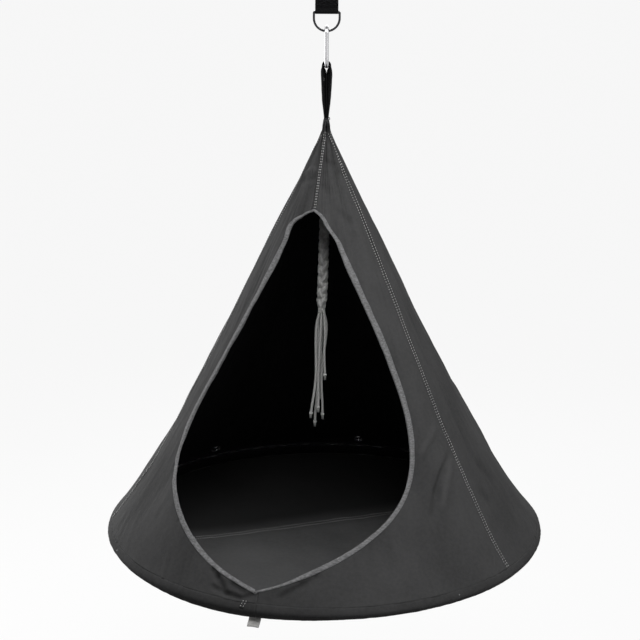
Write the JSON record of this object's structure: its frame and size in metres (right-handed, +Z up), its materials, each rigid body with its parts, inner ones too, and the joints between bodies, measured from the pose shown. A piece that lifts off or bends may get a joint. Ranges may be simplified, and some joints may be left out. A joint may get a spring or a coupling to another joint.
{
  "type": "hammock tent",
  "caption": "Hanging canvas cone tent on a round hoop, with a drop-shaped doorway, floor, grab rope and webbing hanger.",
  "frame": {"origin": "the seat inside the top of the strap's sewn eye, where a bar or a hook carries the tent", "axes": "+Z up along the tent's axis, the doorway faces -Y, +X to the right of someone who faces the doorway"},
  "size_m": [1, 1, 1.34],
  "materials": {
    "black_webbing": "woven, matt",
    "ring_steel": "dark chrome",
    "hook_steel": "bright zinc",
    "spring_steel": "drawn wire",
    "canvas": "woven, matt",
    "melange_binding": "woven, matt",
    "eyelet_steel": "bright nickel",
    "hoop_steel": "galvanised",
    "pale_ribbon": "woven, matt",
    "cotton_rope": "braided, matt"
  },
  "bodies": {
    "strap": {"hanging_strap": "black_webbing"},
    "ring": {"d_ring": "ring_steel"},
    "hook": {"hook_body": "hook_steel"},
    "gate": {"hook_gate": "hook_steel", "hook_pin": "hook_steel", "gate_spring": "spring_steel"},
    "loops": {"apex_loop_inner": "black_webbing", "apex_loop_outer": "black_webbing"},
    "tent": {"neck_tail": "black_webbing", "panel_1": "canvas", "panel_2": "canvas", "panel_3": "canvas", "panel_4": "canvas", "panel_5": "canvas", "door_binding": "melange_binding", "eyelet_left": "eyelet_steel", "eyelet_right": "eyelet_steel", "hoop_section_1": "hoop_steel", "hoop_section_2": "hoop_steel", "hoop_section_3": "hoop_steel", "hoop_section_4": "hoop_steel", "hoop_spigot_1": "hoop_steel", "hoop_spigot_2": "hoop_steel", "hoop_spigot_3": "hoop_steel", "hoop_spigot_4": "hoop_steel", "hoop_sleeve": "canvas", "hem_tab": "pale_ribbon", "floor_left": "canvas", "floor_right": "canvas"},
    "rope": {"grab_rope": "cotton_rope", "rope_tie": "cotton_rope", "tassel_strand_1": "cotton_rope", "tassel_strand_2": "cotton_rope", "tassel_strand_3": "cotton_rope", "tassel_strand_4": "cotton_rope", "tassel_strand_5": "cotton_rope", "tassel_strand_6": "cotton_rope"}
  },
  "joints": [
    {"name": "ring_swing", "type": "hinge", "parent": "strap", "child": "ring", "pos_m": [0, 0, -0.1124], "axis": [0.9563, 0.2924, 0], "range_deg": [-60, 60]},
    {"name": "hook_swing", "type": "hinge", "parent": "ring", "child": "hook", "pos_m": [0, 0, -0.1541], "axis": [0.9563, 0.2924, 0], "range_deg": [-35, 35]},
    {"name": "gate_opening", "type": "hinge", "parent": "hook", "child": "gate", "pos_m": [-0.00379, 0.0124, -0.16526], "axis": [0.9563, 0.2924, 0], "range_deg": [-25, 0], "stiffness_Nm_per_rad": 0.15, "springref_deg": 20.05},
    {"name": "loop_swing", "type": "hinge", "parent": "hook", "child": "loops", "pos_m": [0, 0, -0.23005], "axis": [-0.2924, 0.9563, 0], "range_deg": [-20, 20]},
    {"name": "webbing_twist", "type": "hinge", "parent": "loops", "child": "tent", "pos_m": [0, 0, -0.34805], "axis": [0, 0, 1], "range_deg": [-45, 45], "stiffness_Nm_per_rad": 0.5},
    {"name": "rope_swing", "type": "hinge", "parent": "tent", "child": "rope", "pos_m": [0, 0, -0.39535], "axis": [1, 0, 0], "range_deg": [-18, 18]}
  ]
}
